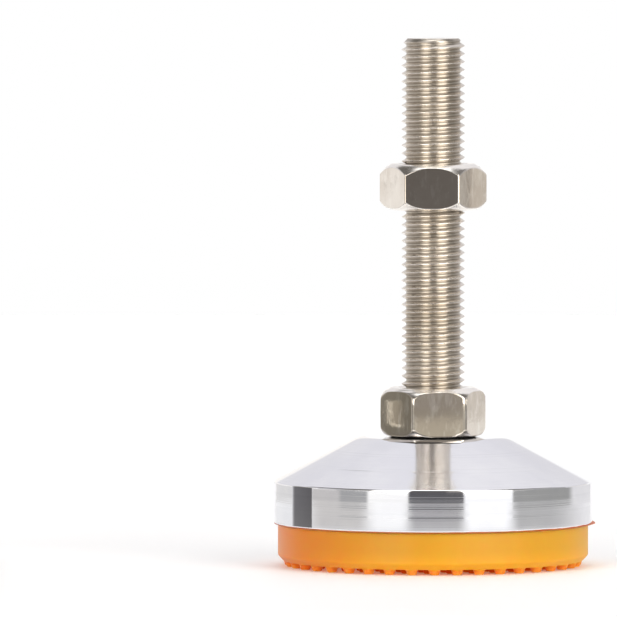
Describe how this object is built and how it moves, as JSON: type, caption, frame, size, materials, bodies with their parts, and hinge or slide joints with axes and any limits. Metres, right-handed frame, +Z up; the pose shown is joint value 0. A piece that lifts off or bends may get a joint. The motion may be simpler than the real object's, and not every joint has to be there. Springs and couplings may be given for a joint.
{
  "type": "furniture leveling foot",
  "caption": "Adjustable leveling foot: polished steel base on an elastomer anti-slip pad, with a threaded stud, a lower hex nut and an upper lock nut.",
  "frame": {"origin": "centre of the footprint, at floor level", "axes": "+Z up along the stud's axis; -Y towards the side from which the foot is seen"},
  "size_m": [0.0816, 0.0816, 0.1325],
  "materials": {
    "polished_steel": "turned and polished",
    "elastomer": "moulded, satin",
    "stud_steel": "rolled thread, bright",
    "nut_steel": "machined, bright"
  },
  "bodies": {
    "base": {"base_dome": "polished_steel", "floor_pad": "elastomer"},
    "spindle": {"spindle": "stud_steel"},
    "base_nut": {"base_nut": "nut_steel"},
    "lock_nut": {"lock_nut": "nut_steel"}
  },
  "joints": [
    {"name": "spindle_spin", "type": "hinge", "parent": "base", "child": "spindle", "pos_m": [0, 0, 0], "axis": [0, 0, 1], "range_deg": [-5400, 5400]},
    {"name": "base_nut_travel", "type": "slide", "parent": "spindle", "child": "base_nut", "axis": [0, 0, 1], "range_m": [0, 0.0144]},
    {"name": "lock_nut_travel", "type": "slide", "parent": "base", "child": "lock_nut", "axis": [0, 0, 1], "range_m": [-0.03, 0.03]}
  ],
  "couplings": [
    {"joint": "spindle_spin", "follows": "lock_nut_travel", "rad_per_m": -3141.6}
  ]
}
